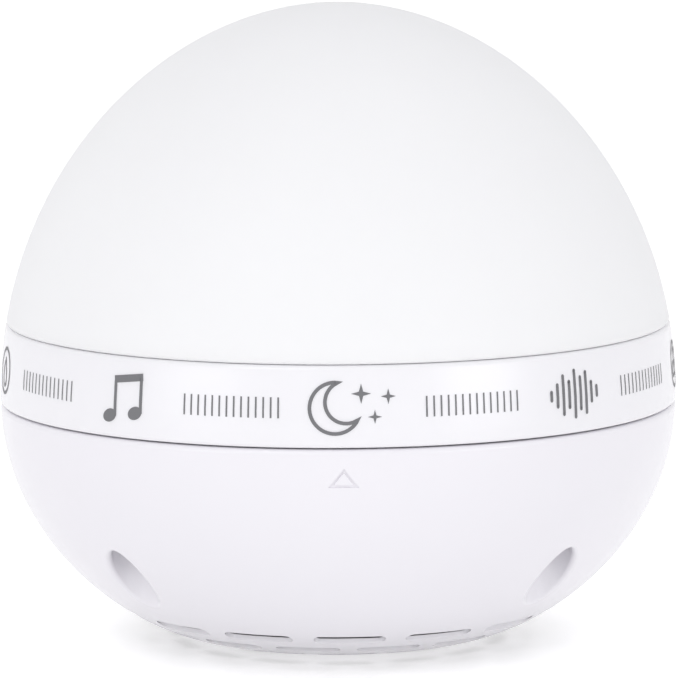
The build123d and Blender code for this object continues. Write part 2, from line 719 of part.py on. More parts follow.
with BuildPart() as seat_screws:
    with Locations((0, 0, seat_top)):
        with PolarLocations(neck_boss_circle, SEAT_SCREW_COUNT, start_angle=SEAT_SCREW_TURN):
            rising(SMALL_HEAD_RADIUS, SMALL_HEAD_HEIGHT)
            hanging(SMALL_SCREW_RADIUS, SMALL_SCREW_LENGTH)

# Dome: thin shell with a ledge, a skirt and a snap bead inside its rim
with BuildPart() as dome_shade:
    with BuildSketch(Plane.XZ):
        add(egg_section(0))
        add(egg_section(DOME_WALL), mode=Mode.SUBTRACT)
        section_box(skirt_radius - SKIRT_WALL, BODY_RADIUS, dome_ledge_z, dome_ledge_z + DOME_LEDGE)
        add(egg_section(0), mode=Mode.INTERSECT)
        section_box(0, BODY_RADIUS, dome_bottom, crown_z, mode=Mode.INTERSECT)
        section_box(skirt_radius - SKIRT_WALL, skirt_radius, seat_top + FIT_GAP, dome_ledge_z)
        with Locations((skirt_radius, bead_z)):
            Circle(BEAD_RADIUS)
    revolve(axis=Axis.Z)
    fillet(outer_rim(dome_shade.part, dome_bottom), EDGE_ROUND)

# Light board, its lamps and its screws
with BuildPart() as light_board:
    with BuildSketch(Plane.XY.offset(light_bottom)):
        Circle(light_board_radius)
        with PolarLocations(light_post_circle, LIGHT_POST_COUNT, start_angle=90):
            Circle(SMALL_SCREW_RADIUS + SCREW_GAP, mode=Mode.SUBTRACT)
    extrude(amount=BOARD_THICKNESS)

with BuildPart() as leds:
    with BuildSketch(Plane.XY.offset(light_top)):
        with PolarLocations(led_circle, LED_COUNT):
            Rectangle(LED_SIZE, LED_SIZE)
        Rectangle(LED_SIZE, LED_SIZE)
    extrude(amount=LED_HEIGHT)

with BuildPart() as light_screws:
    with Locations((0, 0, light_top)):
        with PolarLocations(light_post_circle, LIGHT_POST_COUNT, start_angle=90):
            rising(SMALL_HEAD_RADIUS, SMALL_HEAD_HEIGHT)
            hanging(SMALL_SCREW_RADIUS, SMALL_SCREW_LENGTH)

# Main board under the deck, notched round the pillars
with BuildPart() as main_board:
    with BuildSketch(Plane.XY.offset(board_bottom)):
        Circle(board_radius)
        with Locations(*well_places):
            Circle(PILLAR_RADIUS + OVERRUN, mode=Mode.SUBTRACT)
        with PolarLocations(board_post_circle, BOARD_POST_COUNT, start_angle=BOARD_POST_TURN):
            Circle(SMALL_SCREW_RADIUS + SCREW_GAP, mode=Mode.SUBTRACT)
    extrude(amount=BOARD_THICKNESS)

with BuildPart() as board_screws:
    with Locations((0, 0, board_bottom)):
        with PolarLocations(board_post_circle, BOARD_POST_COUNT, start_angle=BOARD_POST_TURN):
            rising(SMALL_SCREW_RADIUS, SMALL_SCREW_LENGTH)
            hanging(SMALL_HEAD_RADIUS, SMALL_HEAD_HEIGHT)

with BuildPart() as sound_chip:
    with BuildSketch(Plane((0, -chip_place, board_top))):
        Rectangle(CHIP_SIZE, CHIP_SIZE)
    extrude(amount=CHIP_HEIGHT)

with BuildPart() as capacitors:
    with BuildSketch(Plane((0, chip_place, board_top))):
        with GridLocations(CAPACITOR_SPACING, 0, 2, 1):
            Circle(CAPACITOR_RADIUS)
    extrude(amount=CAPACITOR_HEIGHT)

# Button switches at the board's back edge
with BuildPart() as button_switches:
    for button_angle in BUTTON_ANGLES.values():
        switch_plane = back_plane(button_angle, button_z)
        with BuildSketch(switch_plane.offset(switch_face)):
            Rectangle(SWITCH_WIDTH, SWITCH_HEIGHT)
        extrude(amount=-SWITCH_DEPTH)
        with BuildSketch(switch_plane.offset(switch_face)):
            Circle(STEM_RADIUS + SLIDE_GAP)
        extrude(amount=-STEM_ENTRY - BUTTON_TRAVEL - FIT_GAP, mode=Mode.SUBTRACT)


def make_button(angle):
    """Cap through the wall, with its flange inside the wall and its stem in the switch."""
    plane = back_plane(angle, button_z)
    with BuildPart() as button:
        with BuildSketch(plane.offset(button_flange_face)):
            Circle(BUTTON_RADIUS)
        extrude(amount=BODY_RADIUS + BUTTON_PROUD + OVERRUN - button_flange_face)
        with BuildSketch(skin_plane(angle, button_z, 2 * BUTTON_RADIUS).offset(BUTTON_PROUD)):
            Circle(2 * BUTTON_RADIUS)
        extrude(amount=BODY_RADIUS, mode=Mode.SUBTRACT)
        crown = button.faces().sort_by(Axis((0, 0, 0), plane.z_dir))[-1]
        fillet(crown.edges(), BUTTON_ROUND)
        with BuildSketch(plane.offset(button_flange_back)):
            Circle(button_flange_radius)
        extrude(amount=BUTTON_FLANGE_THICKNESS)
        with BuildSketch(plane.offset(stem_tip)):
            Circle(STEM_RADIUS)
        extrude(amount=STEM_LENGTH)
    return button


buttons = {name: make_button(angle) for name, angle in BUTTON_ANGLES.items()}

# Power socket under the board's back edge
with BuildPart() as usb_socket:
    with BuildSketch(back_plane(0, socket_z).offset(socket_face)):
        SlotOverall(SOCKET_WIDTH, SOCKET_HEIGHT)
    extrude(amount=-SOCKET_LENGTH)
    with BuildSketch(back_plane(0, socket_z).offset(socket_face)):
        SlotOverall(SOCKET_WIDTH - 2 * SOCKET_WALL, SOCKET_HEIGHT - 2 * SOCKET_WALL)
    extrude(amount=-SOCKET_DEPTH, mode=Mode.SUBTRACT)
    with BuildSketch(back_plane(0, socket_z).offset(socket_face - SOCKET_DEPTH)):
        Rectangle(TONGUE_WIDTH, TONGUE_HEIGHT)
    extrude(amount=TONGUE_LENGTH)

# Loudspeaker: heights of the driver between its flange and the main board
driver_depth = board_bottom - SPEAKER_HEADROOM - flange_top
basket_top = flange_top + BASKET_DEPTH_SHARE * driver_depth
magnet_top = basket_top + MAGNET_DEPTH_SHARE * driver_depth
yoke_top = flange_top + driver_depth
basket_mouth = speaker_seat_bore - SURROUND_LIP
roll_circle = basket_mouth - SURROUND_ROLL
cone_radius = roll_circle - SURROUND_ROLL
cone_top = basket_top - 2 * BASKET_WALL
coil_outer = COIL_RADIUS + COIL_WALL

with BuildPart() as speaker_gasket:
    with BuildSketch(Plane.XY.offset(speaker_seat_z)):
        Circle(flange_radius)
        Circle(speaker_seat_bore, mode=Mode.SUBTRACT)
        with Locations(*well_places):
            Circle(well_post_radius + FIT_GAP, mode=Mode.SUBTRACT)
        with PolarLocations(speaker_screw_circle, SPEAKER_SCREW_COUNT):
            Circle(SPEAKER_SCREW_RADIUS + SCREW_GAP, mode=Mode.SUBTRACT)
    extrude(amount=GASKET_THICKNESS)

with BuildPart() as speaker_basket:
    with BuildSketch(Plane.XZ):
        section_box(basket_mouth, flange_radius, flange_bottom, flange_top)
        section_box(MAGNET_BORE, MAGNET_RADIUS, basket_top - BASKET_WALL, basket_top)
        with BuildLine():
            Polyline(
                (basket_mouth, flange_bottom),
                (basket_mouth + BASKET_WALL, flange_top),
                (MAGNET_RADIUS, basket_top),
                (MAGNET_RADIUS - BASKET_WALL, basket_top - BASKET_WALL),
                close=True,
            )
        make_face()
    revolve(axis=Axis.Z)
    # Windows between the arms of the cone
    with BuildSketch(Plane.XY.offset(flange_top)):
        Circle(basket_mouth - BASKET_WALL)
        Circle(MAGNET_RADIUS + BASKET_WALL, mode=Mode.SUBTRACT)
        with PolarLocations(0, BASKET_ARMS):
            with Locations((basket_mouth / 2, 0)):
                Rectangle(basket_mouth, BASKET_ARM_WIDTH, mode=Mode.SUBTRACT)
    extrude(amount=driver_depth, mode=Mode.SUBTRACT)
    with BuildSketch(Plane.XY.offset(flange_bottom)):
        with PolarLocations(speaker_screw_circle, SPEAKER_SCREW_COUNT):
            Circle(SPEAKER_SCREW_RADIUS + SCREW_GAP)
        with Locations(*well_places):
            Circle(well_post_radius + FIT_GAP)
    extrude(amount=BASKET_WALL, mode=Mode.SUBTRACT)
    # Terminal strip for the lead
    with BuildSketch(Plane.XY.offset(flange_top)):
        with PolarLocations(speaker_seat_bore, 1, start_angle=180 / SPEAKER_SCREW_COUNT):
            Rectangle(TERMINAL_WIDTH, TERMINAL_LENGTH)
    extrude(amount=TERMINAL_HEIGHT)

with BuildPart() as speaker_surround:
    with BuildSketch(Plane.XZ):
        section_box(basket_mouth, speaker_seat_bore - FIT_GAP, flange_bottom - SURROUND_WALL, flange_bottom)
        section_box(cone_radius - SURROUND_LIP, cone_radius, flange_bottom - SURROUND_WALL, flange_bottom)
        with Locations((roll_circle, flange_bottom)):
            Circle(SURROUND_ROLL + SURROUND_WALL)
            Circle(SURROUND_ROLL, mode=Mode.SUBTRACT)
        section_box(0, BODY_RADIUS, flange_bottom, crown_z, mode=Mode.SUBTRACT)
    revolve(axis=Axis.Z)

with BuildPart() as speaker_cone:
    with BuildSketch(Plane.XZ):
        rim_inner = cone_radius - SURROUND_LIP
        section_box(rim_inner, cone_radius, flange_bottom, flange_bottom + CONE_WALL)
        with BuildLine():
            Polyline(
                (rim_inner, flange_bottom),
                (rim_inner + CONE_WALL, flange_bottom + CONE_WALL),
                (coil_outer, cone_top),
                (coil_outer, cone_top - CONE_WALL),
                close=True,
            )
        make_face()
    revolve(axis=Axis.Z)

with BuildPart() as speaker_voice_coil:
    with BuildSketch(Plane.XY.offset(cone_top - CONE_WALL)):
        Circle(coil_outer)
        Circle(COIL_RADIUS, mode=Mode.SUBTRACT)
    extrude(amount=magnet_top - cone_top)

with BuildPart() as speaker_dust_cap:
    with BuildSketch(Plane.XZ):
        cap_z = cone_top - CONE_WALL
        with BuildLine():
            Line((0, cap_z), (0, cap_z - CAP_HEIGHT))
            ThreePointArc(
                (0, cap_z - CAP_HEIGHT),
                (coil_outer * sin(pi / 4), cap_z - CAP_HEIGHT * cos(pi / 4)),
                (coil_outer, cap_z),
            )
            Line((coil_outer, cap_z), (0, cap_z))
        make_face()
    revolve(axis=Axis.Z)

with BuildPart() as speaker_magnet:
    with BuildSketch(Plane.XY.offset(basket_top)):
        Circle(MAGNET_RADIUS)
        Circle(MAGNET_BORE, mode=Mode.SUBTRACT)
    extrude(amount=magnet_top - basket_top)

with BuildPart() as speaker_yoke:
    with BuildSketch(Plane.XY.offset(magnet_top)):
        Circle(MAGNET_RADIUS)
    extrude(amount=yoke_top - magnet_top)
    with BuildSketch(Plane.XY.offset(magnet_top)):
        Circle(POLE_RADIUS)
    extrude(amount=basket_top - magnet_top)

with BuildPart() as speaker_screws:
    with Locations((0, 0, flange_top)):
        with PolarLocations(speaker_screw_circle, SPEAKER_SCREW_COUNT):
            rising(SPEAKER_HEAD_RADIUS, SPEAKER_HEAD_HEIGHT)
            hanging(SPEAKER_SCREW_RADIUS, SPEAKER_SCREW_LENGTH)

# Lead connectors: on the board for both leads, and under the light board
speaker_lead_place = polar(speaker_seat_bore, pi / SPEAKER_SCREW_COUNT)
board_lead_radius = MAGNET_RADIUS + SPEAKER_LEAD_ROOM + CONNECTOR_LENGTH / 2
board_lead_place = polar(board_lead_radius, pi / SPEAKER_SCREW_COUNT)
with BuildPart() as connectors:
    with BuildSketch(Plane((0, 0, board_top))):
        Rectangle(CONNECTOR_LENGTH, CONNECTOR_WIDTH)
    extrude(amount=CONNECTOR_HEIGHT)
    with BuildSketch(Plane((LIGHT_LEAD_STEP, 0, light_bottom))):
        Rectangle(CONNECTOR_LENGTH, CONNECTOR_WIDTH)
    extrude(amount=-CONNECTOR_HEIGHT)
    with BuildSketch(Plane((*board_lead_place, board_bottom))):
        Rectangle(CONNECTOR_LENGTH, CONNECTOR_WIDTH)
    extrude(amount=-CONNECTOR_HEIGHT)


def make_lead(start, end):
    """Round lead that leaves both connectors upright and steps across between them."""
    third = (end[2] - start[2]) / 3
    low = (start[0], start[1], start[2] + third)
    high = (end[0], end[1], end[2] - third)
    with BuildPart() as lead:
        with BuildLine() as route:
            FilletPolyline(start, low, high, end, radius=min(LEAD_BEND, abs(third)))
        with BuildSketch(Plane(start, z_dir=route.wire() % 0)):
            Circle(LEAD_RADIUS)
        sweep()
    return lead


light_lead = make_lead(
    (0, 0, board_top + CONNECTOR_HEIGHT),
    (LIGHT_LEAD_STEP, 0, light_bottom - CONNECTOR_HEIGHT),
)
speaker_lead = make_lead(
    (*board_lead_place, board_bottom - CONNECTOR_HEIGHT),
    (*speaker_lead_place, flange_top + TERMINAL_HEIGHT),
)

pieces = {
    "base_housing": base_housing,
    "rubber_feet": rubber_feet,
    "base_screws": base_screws,
    "deck": deck,
    "glide_ring": glide_ring,
    "selector_ring": selector_ring,
    "ring_gear": ring_gear,
    "drive_pinion": drive_pinion,
    "encoder_shaft": encoder_shaft,
    "encoder_body": encoder_body,
    "dome_seat": dome_seat,
    "seat_screws": seat_screws,
    "dome_shade": dome_shade,
    "light_board": light_board,
    "leds": leds,
    "light_screws": light_screws,
    "light_lead": light_lead,
    "main_board": main_board,
    "board_screws": board_screws,
    "sound_chip": sound_chip,
    "capacitors": capacitors,
    "connectors": connectors,
    "button_switches": button_switches,
    "usb_socket": usb_socket,
    "speaker_gasket": speaker_gasket,
    "speaker_basket": speaker_basket,
    "speaker_surround": speaker_surround,
    "speaker_cone": speaker_cone,
    "speaker_voice_coil": speaker_voice_coil,
    "speaker_dust_cap": speaker_dust_cap,
    "speaker_magnet": speaker_magnet,
    "speaker_yoke": speaker_yoke,
    "speaker_screws": speaker_screws,
    "speaker_lead": speaker_lead,
    **buttons,
}

os.makedirs("parts", exist_ok=True)
for name, piece in pieces.items():
    piece.part.label = name
    export_step(piece.part, f"parts/{name}.step")
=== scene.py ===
import json
import math

import bmesh
import bpy
from mathutils import Matrix, Vector
from mathutils.bvhtree import BVHTree


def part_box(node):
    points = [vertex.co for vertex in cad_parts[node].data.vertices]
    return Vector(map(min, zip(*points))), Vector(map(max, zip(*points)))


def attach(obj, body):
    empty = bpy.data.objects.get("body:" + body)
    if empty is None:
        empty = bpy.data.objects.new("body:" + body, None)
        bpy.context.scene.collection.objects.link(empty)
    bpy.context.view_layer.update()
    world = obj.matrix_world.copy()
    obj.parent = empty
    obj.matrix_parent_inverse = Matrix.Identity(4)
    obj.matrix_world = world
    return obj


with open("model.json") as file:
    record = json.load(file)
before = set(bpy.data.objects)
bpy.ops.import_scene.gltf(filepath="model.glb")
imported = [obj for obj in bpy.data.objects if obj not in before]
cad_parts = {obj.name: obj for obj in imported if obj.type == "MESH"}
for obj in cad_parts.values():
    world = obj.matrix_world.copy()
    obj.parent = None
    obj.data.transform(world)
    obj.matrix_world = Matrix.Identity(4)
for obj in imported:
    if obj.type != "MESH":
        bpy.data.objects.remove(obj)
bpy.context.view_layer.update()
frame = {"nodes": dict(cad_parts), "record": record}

nodes = frame["nodes"]

# Lengths are in metres, the small ones written with MM; angles are in degrees
# Outlines that are drawn flat and then laid on a surface are in millimetres
MM = 0.001

# Camera: its place about the object's axis, its aim, and its lens and sensor in millimetres
CAMERA_DISTANCE = 0.9774
CAMERA_AZIMUTH = -0.85
CAMERA_ELEVATION = 10.8
CAMERA_PITCH = 7.785
CAMERA_YAW = 0.017
CAMERA_ROLL = -0.27
CAMERA_LENS = 289.0
CAMERA_SENSOR = 36.0

# Floor and world light
FLOOR_SIZE = 12.0
FLOOR_COLOUR = (0.8, 0.8, 0.8)
FLOOR_ROUGHNESS = 0.45
FLOOR_GRAIN = 2 * MM
FLOOR_SPECULAR = 0.2
FLOOR_GLOW = 0.2
FLOOR_GLOW_SEEN = 0.44
WORLD_COLOUR = (0.98, 0.98, 1.0)
WORLD_LIGHT = 0.79

# Lamps, with their powers in watts: a key lamp above, and one low down on each side
KEY_PLACE = (-0.4, -0.9, 0.8)
KEY_TARGET = (0, 0, 0.06)
KEY_SIZE = 0.5
KEY_POWER = 1.9
LEFT_PLACE = (-0.8, -0.75, 0.1)
RIGHT_PLACE = (0.8, -0.75, 0.1)
SIDE_TARGET = (0, 0, 0.03)
SIDE_SIZE = 0.5
LEFT_POWER = 1.3
RIGHT_POWER = 2.1

# Materials: how colour and gloss drift, how deep a grain is, and how far light spreads under a skin
DRIFT_SIZE = 30 * MM
DRIFT_DETAIL = 3.0
GLOSS_DRIFT = 0.1
METAL_GLOSS_DRIFT = 0.3
GRAIN_DEPTH = 0.25
SKIN_DEPTH = 2 * MM

# Drawn lines: their usual width, their longest step, and the least share that a mitre is divided by
LINE = 0.62
STEP = 0.6
MITRE_LIMIT = 0.35

# Print: its height over a surface, and how near two points are to be one
PRINT_LIFT = 0.04 * MM
SAME_POINT = 0.0001 * MM

# Rays at a surface start this many times as far out as it reaches
OUTSIDE = 2

# Printed band of the ring, with a tick scale between each two icons
PRINT_TURN = 1.5
PRINT_HEIGHT = 49.45 * MM
TICK_COUNT = 14
TICK_PITCH = 1.227
TICK_SIZE = (0.3, 3.5)

# Marks on the buttons, and the dark crosses of painted shade on the heads of the screws
MARK_SIZE = 2.6
MARK_LINE = 0.4
SCREW_HEAD = 5.6 * MM
CROSS_SIZE = 3.0
CROSS_LINE = 0.8

# Dark moulding round the tongue of the power socket, with a row of contacts on each side
TONGUE_SIZE = (6.7, 0.8)
TONGUE_ROUND = 0.1
TONGUE_CLEAR = 0.8 * MM
CONTACT_COUNT = 12
CONTACT_PITCH = 0.5
CONTACT_WIDTH = 0.26
CONTACT_MARGIN = 0.5 * MM


def socket(node, name, value):
    """Set a shader socket to a constant."""
    node.inputs[name].default_value = value


def new_material(name):
    """Material with its node tree, its shader and the socket of the object's own coordinates."""
    material = bpy.data.materials.new(name)
    material.use_nodes = True
    tree = material.node_tree
    place = tree.nodes.new("ShaderNodeTexCoord")
    return material, tree, tree.nodes["Principled BSDF"], place.outputs["Object"]


def add_noise(tree, place, size, detail=2.0):
    """Socket of a noise whose grain has a given size."""
    noise = tree.nodes.new("ShaderNodeTexNoise")
    socket(noise, "Scale", 1 / size)
    socket(noise, "Detail", detail)
    tree.links.new(place, noise.inputs["Vector"])
    return noise.outputs["Fac"]


def add_gloss(tree, shader, noise, roughness, drift):
    """Roughness that drifts with a noise."""
    gloss = tree.nodes.new("ShaderNodeMapRange")
    socket(gloss, "To Min", roughness * (1 - drift))
    socket(gloss, "To Max", roughness * (1 + drift))
    tree.links.new(noise, gloss.inputs["Value"])
    tree.links.new(gloss.outputs["Result"], shader.inputs["Roughness"])


def plastic(name, colour, roughness, grain, bump, speckle=0.015, specular=0.5, subsurface=0.0):
    """Moulded plastic: a fine spark-eroded grain, and colour and gloss that drift a little."""
    material, tree, shader, place = new_material(name)
    drift = add_noise(tree, place, DRIFT_SIZE, DRIFT_DETAIL)
    add_gloss(tree, shader, drift, roughness, GLOSS_DRIFT)

    tint = tree.nodes.new("ShaderNodeMix")
    tint.data_type = "RGBA"
    socket(tint, "A", (*[c * (1 - speckle) for c in colour], 1))
    socket(tint, "B", (*[min(c * (1 + speckle), 1) for c in colour], 1))
    tree.links.new(drift, tint.inputs["Factor"])
    tree.links.new(tint.outputs["Result"], shader.inputs["Base Color"])

    relief = tree.nodes.new("ShaderNodeBump")
    socket(relief, "Strength", bump)
    socket(relief, "Distance", grain * GRAIN_DEPTH)
    tree.links.new(add_noise(tree, place, grain), relief.inputs["Height"])
    tree.links.new(relief.outputs["Normal"], shader.inputs["Normal"])

    socket(shader, "Specular IOR Level", specular)
    if subsurface:
        socket(shader, "Subsurface Weight", subsurface)
        socket(shader, "Subsurface Radius", (1.0, 1.0, 1.0))
        socket(shader, "Subsurface Scale", SKIN_DEPTH)
    return material


def metal(name, colour, roughness, grain):
    """Plain metal whose gloss follows a fine grain."""
    material, tree, shader, place = new_material(name)
    socket(shader, "Base Color", (*colour, 1))
    socket(shader, "Metallic", 1.0)
    add_gloss(tree, shader, add_noise(tree, place, grain), roughness, METAL_GLOSS_DRIFT)
    return material


# One look for each material slot of the record
looks = {
    "shell_white": plastic("shell_white", (0.862, 0.846, 0.885), 0.26, 0.25 * MM, 0.04),
    "ring_white": plastic("ring_white", (0.88, 0.872, 0.90), 0.26, 0.25 * MM, 0.04, subsurface=0.3),
    "dome_white": plastic(
        "dome_white", (0.903, 0.903, 0.913), 0.55, 0.18 * MM, 0.06, specular=0.35, subsurface=0.6
    ),
    "button_white": plastic("button_white", (0.84, 0.84, 0.87), 0.42, 0.25 * MM, 0.05),
    "inner_plastic": plastic("inner_plastic", (0.72, 0.72, 0.72), 0.6, 0.3 * MM, 0.08),
    "acetal": plastic("acetal", (0.55, 0.54, 0.50), 0.4, 0.3 * MM, 0.05),
    "foot_rubber": plastic("foot_rubber", (0.22, 0.22, 0.23), 0.8, 0.4 * MM, 0.2),
    "encoder_case": plastic("encoder_case", (0.02, 0.02, 0.022), 0.5, 0.3 * MM, 0.1),
    "board_green": plastic("board_green", (0.01, 0.12, 0.04), 0.35, 1.0 * MM, 0.1, speckle=0.2),
    "connector_white": plastic("connector_white", (0.7, 0.69, 0.6), 0.5, 0.3 * MM, 0.05),
    "led_yellow": plastic("led_yellow", (0.85, 0.72, 0.25), 0.25, 0.5 * MM, 0.02),
    "lead_cover": plastic("lead_cover", (0.03, 0.03, 0.032), 0.6, 0.3 * MM, 0.1),
    "basket_steel": plastic("basket_steel", (0.02, 0.02, 0.02), 0.45, 0.4 * MM, 0.15),
    "magnet_black": plastic("magnet_black", (0.025, 0.025, 0.027), 0.6, 0.4 * MM, 0.15),
    "cone_paper": plastic("cone_paper", (0.025, 0.025, 0.026), 0.9, 0.6 * MM, 0.4, speckle=0.2),
    "surround_rubber": plastic("surround_rubber", (0.02, 0.02, 0.02), 0.7, 0.4 * MM, 0.1),
    "screw_steel": metal("screw_steel", (0.55, 0.55, 0.57), 0.35, 0.2 * MM),
    "shaft_steel": metal("shaft_steel", (0.62, 0.62, 0.64), 0.28, 0.2 * MM),
    "capacitor_can": metal("capacitor_can", (0.5, 0.51, 0.54), 0.3, 0.3 * MM),
    "yoke_steel": metal("yoke_steel", (0.45, 0.45, 0.47), 0.4, 0.3 * MM),
    "coil_copper": metal("coil_copper", (0.6, 0.26, 0.12), 0.35, 0.1 * MM),
}

# Looks of the pieces that only the scene has
ink = plastic("grey_ink", (0.17, 0.17, 0.18), 0.5, 0.2 * MM, 0.05, speckle=0.06)
# Near-black: the socket tongue's own dark moulding, and painted shade in the cross recesses of the
# screw heads
dark_moulding_and_painted_shade = plastic("dark_moulding_and_painted_shade", (0.03, 0.03, 0.032), 0.6, 0.2 * MM, 0.05)
contact_gold = metal("contact_gold", (0.8, 0.56, 0.22), 0.3, 0.2 * MM)

for part in frame["record"]["subparts"]:
    surface = nodes[part["node"]].data.materials
    surface.clear()
    surface.append(looks[part["material_slot"]])


def polar(centre, radius, angle):
    """Point at a distance and an angle from a centre."""
    turn = math.radians(angle)
    return centre[0] + radius * math.cos(turn), centre[1] + radius * math.sin(turn)


def arc(centre, radius, start, end, steps):
    """Points on an arc, from one angle to another."""
    return [polar(centre, radius, start + (end - start) * i / steps) for i in range(steps + 1)]


def turned(path, angle):
    """The same path turned about the middle."""
    turn = Matrix.Rotation(math.radians(angle), 2)
    return [tuple(turn @ Vector(point)) for point in path]


def in_steps(path, closed):
    """The same path with points no further apart than a step, so that it can bend with a surface."""
    points = []
    for start, end in zip(path, path[1:] + (path[:1] if closed else [])):
        count = math.ceil(math.dist(start, end) / STEP)
        for i in range(count):
            points.append(tuple(a + (b - a) * i / count for a, b in zip(start, end)))
    return points if closed else points + [path[-1]]


def stroke(path, width=LINE, closed=False):
    """Quads of a line of even width along a path, with mitred corners."""
    path = in_steps(path, closed)
    count = len(path)
    sides = []
    for i, (x, y) in enumerate(path):
        before = path[i - 1] if closed or i > 0 else path[i]
        after = path[(i + 1) % count] if closed or i < count - 1 else path[i]
        ways = [Vector((x - before[0], y - before[1])), Vector((after[0] - x, after[1] - y))]
        ways = [way.normalized() for way in ways if way.length > 0]
        along = sum(ways, Vector((0, 0))).normalized()
        across = Vector((-along.y, along.x))
        spread = max(abs(across.dot(Vector((-ways[0].y, ways[0].x)))), MITRE_LIMIT)
        step = across * width / 2 / spread
        sides.append(((x + step.x, y + step.y), (x - step.x, y - step.y)))
    pairs = zip(sides, sides[1:] + (sides[:1] if closed else []))
    return [[a[0], a[1], b[1], b[0]] for a, b in pairs if a is not b]


def circle(radius, width=LINE, steps=44):
    """Line round a circle about the middle."""
    return stroke(arc((0, 0), radius, 0, 360, steps)[:-1], width, closed=True)


def disc(centre, width, height=None, tilt=0.0, steps=20):
    """Triangles of a filled ellipse."""
    height = height or width
    lean = math.radians(tilt)
    rim = []
    for x, y in arc((0, 0), 0.5, 0, 360, steps)[:-1]:
        x, y = x * width, y * height
        rim.append((
            centre[0] + x * math.cos(lean) - y * math.sin(lean),
            centre[1] + x * math.sin(lean) + y * math.cos(lean),
        ))
    return [[centre, rim[i], rim[(i + 1) % steps]] for i in range(steps)]


def cross(size, width):
    """Two strokes that cross in the middle."""
    half = size / 2
    return stroke([(-half, 0), (half, 0)], width) + stroke([(0, -half), (0, half)], width)


def twinkle(centre, radius):
    """Four-pointed star."""
    waist = 0.3 * radius
    kites = []
    for turn in (0, 90, 180, 270):
        right, left = (polar(centre, waist, turn + side) for side in (-45, 45))
        kites.append([centre, right, polar(centre, radius, turn), left])
    return kites


def moon():
    """Crescent outline with three small stars."""
    outer, inner, shift, lean = 4.3, 3.55, 2.1, 28.0
    left = -3.0
    stars = (((1.4, 2.4), 1.7), ((3.7, -1.5), 1.2), ((6.0, 1.9), 1.3))
    reach = (outer**2 - inner**2 + shift**2) / (2 * shift)
    horn_outer = math.degrees(math.acos(reach / outer))
    horn_inner = math.degrees(math.acos((reach - shift) / inner))
    rim = arc((left, 0), outer, lean + horn_outer, lean + 360 - horn_outer, 40)
    hollow = arc(polar((left, 0), shift, lean), inner, lean + 360 - horn_inner, lean + horn_inner, 32)
    marks = stroke(rim + hollow[1:-1], closed=True)
    for centre, radius in stars:
        marks += twinkle(centre, radius)
    return marks


def notes():
    """Two beamed notes."""
    left, right, low, high = -1.6, 3.9, -3.05, 3.15
    rise, beam_width = 0.75, 1.25
    head_shift, head_width, head_height, head_tilt = 1.2, 3.0, 2.2, 22
    marks = []
    for x, lift in ((left, 0), (right, rise)):
        marks += stroke([(x, low + lift), (x, high + lift)])
    marks += stroke([(left - LINE / 2, high), (right + LINE / 2, high + rise)], beam_width)
    for x, lift in ((left, 0), (right, rise)):
        marks += disc((x - head_shift, low + lift), head_width, head_height, head_tilt)
    return marks


def bars():
    """Row of level bars with round ends."""
    heights = (1.4, 3.7, 6.5, 4.4, 7.9, 5.4, 6.9, 3.3, 1.6)
    pitch = 1.35
    marks = []
    for i, height in enumerate(heights):
        x = (i - (len(heights) - 1) / 2) * pitch
        marks += stroke([(x, -height / 2), (x, height / 2)])
        marks += disc((x, -height / 2), LINE, steps=10) + disc((x, height / 2), LINE, steps=10)
    return marks


def fan():
    """Ring round a hub with three swept blades."""
    ring, hub, blade = 3.9, 1.5, 1.25
    marks = circle(ring) + disc((0, 0), hub)
    for turn in (90, 210, 330):
        marks += stroke(arc(polar((0, 0), hub, turn), blade, turn - 150, turn + 110, 18))
    return marks


def cloud():
    """Cloud with rain."""
    left = arc((-2.4, 0.6), 1.7, 270, 100, 14)
    crown = arc((0.2, 1.7), 2.2, 150, 20, 16)
    right = arc((2.7, 0.7), 1.8, 80, -90, 14)
    rain_top, rain_end, slant = -2.0, -4.0, 0.9
    marks = stroke(left + crown + right, closed=True)
    for x in (-2.0, 0.3, 2.6):
        marks += stroke([(x, rain_top), (x - slant, rain_end)])
    return marks


def waves():
    """Three rolling lines."""
    length, swing, turns, steps = 10, 0.75, 2, 36
    marks = []
    for level in (-2.6, 0.0, 2.6):
        points = []
        for i in range(steps + 1):
            rise = swing * math.sin(i / steps * 2 * turns * math.pi)
            points.append((-length / 2 + length * i / steps, level + rise))
        marks += stroke(points)
    return marks


def leaf():
    """Pointed leaf with its rib and stalk."""
    half, bulge, lean, stalk = 4.0, 2.1, 35.0, 1.5
    radius = (half**2 + bulge**2) / (2 * bulge)
    spread = math.degrees(math.asin(half / radius))
    upper = arc((0, bulge - radius), radius, 90 + spread, 90 - spread, 20)
    lower = arc((0, radius - bulge), radius, spread - 90, -spread - 90, 20)
    rib = [(-half - stalk, 0), (half / 2, 0)]
    return stroke(turned(upper + lower[1:-1], lean), closed=True) + stroke(turned(rib, lean))


def heart():
    """Heart outline, by the usual formula in sines and cosines."""
    half_width, scale, steps = 4.2, 0.26, 48
    points = []
    for i in range(1, steps):
        t = 2 * math.pi * i / steps
        height = 13 * math.cos(t) - 5 * math.cos(2 * t) - 2 * math.cos(3 * t) - math.cos(4 * t)
        points.append((half_width * math.sin(t) ** 3, scale * height))
    return stroke(points, closed=True)


def drop():
    """Drop in a ring."""
    ring, half_width, half_height, sink, steps = 3.9, 1.7, 2.4, 0.2, 36
    points = []
    for i in range(1, steps):
        t = 2 * math.pi * i / steps
        points.append((half_width * math.sin(t) * math.sin(t / 2), half_height * math.cos(t) - sink))
    return circle(ring) + stroke(points, closed=True)


def ticks():
    """Scale of fine upright lines."""
    width, height = TICK_SIZE
    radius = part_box("selector_ring")[1].x / MM
    pitch = math.radians(TICK_PITCH) * radius
    marks = []
    for i in range(TICK_COUNT):
        x = (i - (TICK_COUNT - 1) / 2) * pitch
        marks += stroke([(x, -height / 2), (x, height / 2)], width)
    return marks


def minus():
    """Short level stroke."""
    return stroke([(-MARK_SIZE / 2, 0), (MARK_SIZE / 2, 0)], MARK_LINE)


